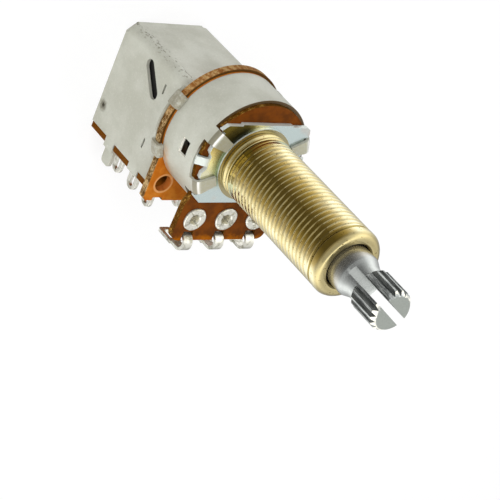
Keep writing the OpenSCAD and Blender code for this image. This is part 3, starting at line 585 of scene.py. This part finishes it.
def makeEyelet(name, x, turn):
    e = eyelet
    columns, profile = e["columns"], e["profile"]
    points, faces = [], []
    for z, r in profile:
        cracked = z > e["crackFrom"] and e["crackInner"] < r < e["crackOuter"]
        wavy = z > e["waveFrom"] and r > e["waveInner"]
        for c in range(columns):
            degrees = 360 * c / columns
            a = math.radians(degrees)
            near = min(abs((degrees - turn - crack + 180) % 360 - 180) for crack in e["cracks"])
            crack = max(0, 1 - near / e["crackWide"]) if cracked else 0
            wave = 1
            if wavy:
                wave = 1 + e["waves"][0] * math.sin(a * 3 + x) + e["waves"][1] * math.sin(a * 5 + 2 * x)
            points.append((x + r * wave * math.cos(a), r * wave * math.sin(a) - e["drop"],
                           z - e["crackDeep"] * crack))
    for i in range(len(profile)):
        faces += joinRings(i * columns, (i + 1) % len(profile) * columns, columns)
    piece = addPiece("rolledEyelet_" + name, points, faces, materials["solder"], e["crease"])
    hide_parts("eyelet_" + name)


for place, (name, turn) in enumerate(eyelet["turns"].items(), -1):
    makeEyelet(name, place * eyelet["pitch"], turn)
print("eyelets rolled:", len(eyelet["turns"]))


# studio: metal mirrors walls whose level changes from the far side round to the azimuth "towards", with a
# dark card on that side and a paler ceiling
studio = {
    "ambient": 0.49, "bright": 1.8, "ceiling": 0.32, "towards": 143.8,
    "walls": [(0.0, 0.22), (0.06, 0.34), (0.14, 0.50), (0.25, 0.85), (0.34, 1.0), (0.42, 1.0), (0.52, 0.8),
              (0.655, 0.44), (0.78, 0.26), (0.883, 0.14), (0.97, 0.07)],
    "card": (-0.63, 0.46, 0.626), "cardSpread": (0.35, 0.85)}


def makeWorld():
    world = bpy.data.worlds.new("studio")
    scene.world = world
    world.use_nodes = True
    f = Sheet(world.node_tree)
    x, y, z = f.split(f.node("TexCoord", out="Generated"))
    flat = (x * x + y * y + 0.02) ** 0.5
    a = math.radians(studio["towards"])
    level = (x * math.cos(a) + y * math.sin(a)) / flat
    card = studio["card"]
    ahead = x * card[0] + y * card[1] + z * card[2]
    side = f.maths("MAXIMUM", level, f.step(ahead, *studio["cardSpread"], -1.0, 1.0))
    glow = f.node("ValToRGB", {"stops": studio["walls"]}, {0: side * 0.5 + 0.5})
    glow = glow + studio["ceiling"] * f.step(z, 0.0, 0.5)
    camera, glossy, through = f.others(f.node("LightPath"), "Is Camera Ray", "Is Glossy Ray",
                                       "Is Transmission Ray")
    ambient = f.node("Background", values={0: (1, 1, 1), 1: studio["ambient"]})
    cards = f.node("Background", values={0: glow, 1: studio["bright"]})
    white = f.node("Background", values={0: (1, 1, 1), 1: 1.0})
    lit = f.node("MixShader", values={0: glossy + through, 1: ambient, 2: cards})
    shown = f.node("MixShader", values={0: camera, 1: lit, 2: white})
    f.feed(f.tree.nodes["World Output"].inputs[0], shown)


# in metres; share is how much of the glow the camera sees
floorLook = {"z": -0.0247, "size": 1.2, "colour": (0.86, 0.86, 0.86), "roughness": 0.9, "glow": 1.02,
             "share": 0.8}


def makeFloor():
    half = floorLook["size"] / 2
    mesh = bpy.data.meshes.new("floor")
    corners = [(-half, -half, 0), (half, -half, 0), (half, half, 0), (-half, half, 0)]
    mesh.from_pydata(corners, [], [(0, 1, 2, 3)])
    floor = bpy.data.objects.new("floor", mesh)
    floor.location.z = floorLook["z"]
    scene.collection.objects.link(floor)
    # near white to the camera, with the part's shadow kept
    f = Finish("paleFloor")
    camera = f.node("LightPath", out="Is Camera Ray")
    f.set(Base_Color=floorLook["colour"], Roughness=floorLook["roughness"])
    glow = f.node("Emission", values={0: (1, 1, 1), 1: floorLook["glow"]})
    lit = Wire(f, f.shader.outputs[0])
    mixed = f.node("MixShader", values={0: camera * floorLook["share"], 1: lit, 2: glow})
    f.feed(f.tree.nodes["Material Output"].inputs[0], mixed)
    mesh.materials.append(f.material)
    floor.visible_glossy = False


# place in metres and power of each lamp, and the width of all three
lamps = {"keyLamp": ((-0.20, 0.20, 0.33), 1.22), "fillLamp": ((-0.35, -0.10, 0.10), 0.62),
         "topLamp": ((0.20, -0.10, 0.40), 0.62)}
lampSize = 0.25


def addLamp(name, place, power):
    # soft square lamp that shines on the origin
    lamp = bpy.data.lights.new(name, "AREA")
    lamp.energy, lamp.size = power, lampSize
    holder = bpy.data.objects.new(name, lamp)
    holder.location = place
    holder.visible_glossy = False
    holder.rotation_mode = "QUATERNION"
    holder.rotation_quaternion = (-Vector(place)).to_track_quat("-Z", "Y")
    scene.collection.objects.link(holder)


makeWorld()
makeFloor()
for name, (place, power) in lamps.items():
    addLamp(name, place, power)
print("studio lit")


# camera at the photograph's angle, in metres
cameraFit = {
    "place": (-0.164530, 0.111184, 0.169154), "lens": 150.36, "sensor": 36, "nearest": 0.01, "farthest": 10,
    "right": (0.776793, 0.355075, 0.520111), "up": (0.017433, 0.813451, -0.581372),
    "back": (-0.629515, 0.460673, 0.625693)}
camera = bpy.data.objects.new("camera", bpy.data.cameras.new("camera"))
camera.data.lens, camera.data.sensor_width = cameraFit["lens"], cameraFit["sensor"]
camera.data.clip_start, camera.data.clip_end = cameraFit["nearest"], cameraFit["farthest"]
turn = Matrix((cameraFit["right"], cameraFit["up"], cameraFit["back"])).transposed()
camera.matrix_world = Matrix.Translation(cameraFit["place"]) @ turn.to_4x4()
scene.collection.objects.link(camera)
scene.camera = camera
scene.view_settings.view_transform = "Standard"
print("camera placed")
